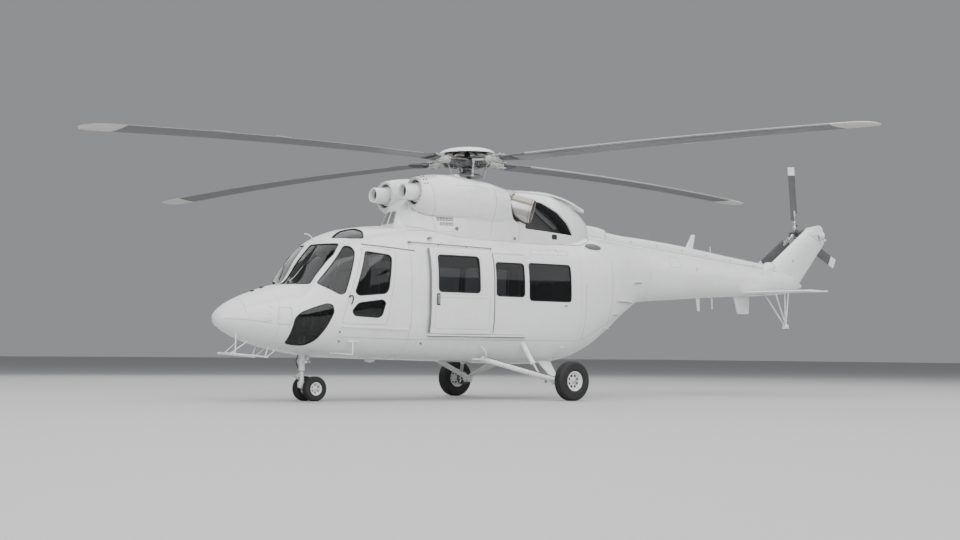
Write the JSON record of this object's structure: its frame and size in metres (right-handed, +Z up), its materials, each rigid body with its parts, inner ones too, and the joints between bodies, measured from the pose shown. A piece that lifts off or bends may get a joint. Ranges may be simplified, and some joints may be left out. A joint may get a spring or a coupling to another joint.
{
  "type": "utility helicopter",
  "caption": "Utility helicopter on fixed wheels, with hollow cockpit and cabin, sliding cabin doors, steered nose wheels and free-turning rotors.",
  "frame": {"origin": "middle of the whole plan at ground level, under the rotors as parked; the main rotor mast stands 1.313 m ahead of it", "axes": "+Z up, -X towards the nose, +Y to starboard, the side of the tail rotor"},
  "size_m": [17.504, 14.8293, 4.6131],
  "materials": {
    "white_paint": "glossy white paint",
    "tinted_glass": "dark tinted acrylic",
    "cabin_trim": "grey seat fabric",
    "dark_paint": "matt dark grey, as on the engines, panel and floor",
    "bare_steel": "bare heat-tinted steel",
    "light_metal": "satin metal",
    "blade_paint": "satin dark grey",
    "tyre": "matt black rubber with light rims"
  },
  "bodies": {
    "root": {"aft_cowl": "white_paint", "aft_fuselage": "white_paint", "cabin_floor": "dark_paint", "cabin_seats_front": "cabin_trim", "cabin_seats_rear": "cabin_trim", "cabin_shell": "white_paint", "cabin_windows_left": "tinted_glass", "cabin_windows_right": "tinted_glass", "chin_window_left": "tinted_glass", "chin_window_right": "tinted_glass", "cockpit_glazing": "tinted_glass", "cockpit_shell": "white_paint", "crew_door_left": "white_paint", "crew_door_right": "white_paint", "crew_seat_left": "cabin_trim", "crew_seat_right": "cabin_trim", "engine_cowl_left": "white_paint", "engine_cowl_right": "white_paint", "engine_left": "dark_paint", "engine_right": "dark_paint", "exhaust_left": "bare_steel", "exhaust_right": "bare_steel", "fin": "white_paint", "front_fairing": "white_paint", "instrument_panel": "dark_paint", "main_gear_left": "white_paint", "main_gear_right": "white_paint", "main_gearbox": "dark_paint", "nose_antenna": "white_paint", "nose_cone": "white_paint", "nose_leg": "white_paint", "shaft_cover": "white_paint", "stabiliser": "white_paint", "tail_boom": "white_paint", "tail_skid": "white_paint", "ventral_fin": "white_paint"},
    "main_rotor": {"rotor_hub": "light_metal", "rotor_dome": "white_paint", "swashplate": "light_metal", "main_blade_1": "blade_paint", "main_blade_2": "blade_paint", "main_blade_3": "blade_paint", "main_blade_4": "blade_paint"},
    "tail_rotor": {"tail_rotor_hub": "light_metal", "tail_blade_1": "blade_paint", "tail_blade_2": "blade_paint", "tail_blade_3": "blade_paint"},
    "nose_steering": {"nose_fork": "light_metal"},
    "nose_wheels": {"nose_wheels": "tyre"},
    "main_wheel_left": {"main_wheel_left": "tyre"},
    "main_wheel_right": {"main_wheel_right": "tyre"},
    "cabin_door_left": {"cabin_door_left": "white_paint", "cabin_door_glass_left": "tinted_glass"},
    "cabin_door_right": {"cabin_door_right": "white_paint", "cabin_door_glass_right": "tinted_glass"}
  },
  "joints": [
    {"name": "main_rotor_spin", "type": "hinge", "parent": "root", "child": "main_rotor", "pos_m": [-1.31273, 0.07592, 3.93], "axis": [-0.0164, 0, 0.9999], "continuous": true},
    {"name": "tail_rotor_spin", "type": "hinge", "parent": "root", "child": "tail_rotor", "pos_m": [7.50727, 0.63592, 3.25], "axis": [0, 1, 0], "continuous": true},
    {"name": "nose_steer", "type": "hinge", "parent": "root", "child": "nose_steering", "pos_m": [-4.44273, 0.07592, 0.3], "axis": [0, 0, 1], "range_deg": [-60, 60]},
    {"name": "nose_wheels_roll", "type": "hinge", "parent": "nose_steering", "child": "nose_wheels", "pos_m": [-4.30273, 0.07592, 0.19], "axis": [0, 1, 0], "continuous": true},
    {"name": "main_wheel_left_roll", "type": "hinge", "parent": "root", "child": "main_wheel_left", "pos_m": [-0.36373, -1.50108, 0.316], "axis": [0, 1, 0], "continuous": true},
    {"name": "main_wheel_right_roll", "type": "hinge", "parent": "root", "child": "main_wheel_right", "pos_m": [-0.36373, 1.65292, 0.316], "axis": [0, 1, 0], "continuous": true},
    {"name": "cabin_door_left_slide", "type": "slide", "parent": "root", "child": "cabin_door_left", "axis": [1, 0, 0], "range_m": [0, 0.95]},
    {"name": "cabin_door_right_slide", "type": "slide", "parent": "root", "child": "cabin_door_right", "axis": [1, 0, 0], "range_m": [0, 0.95]}
  ]
}
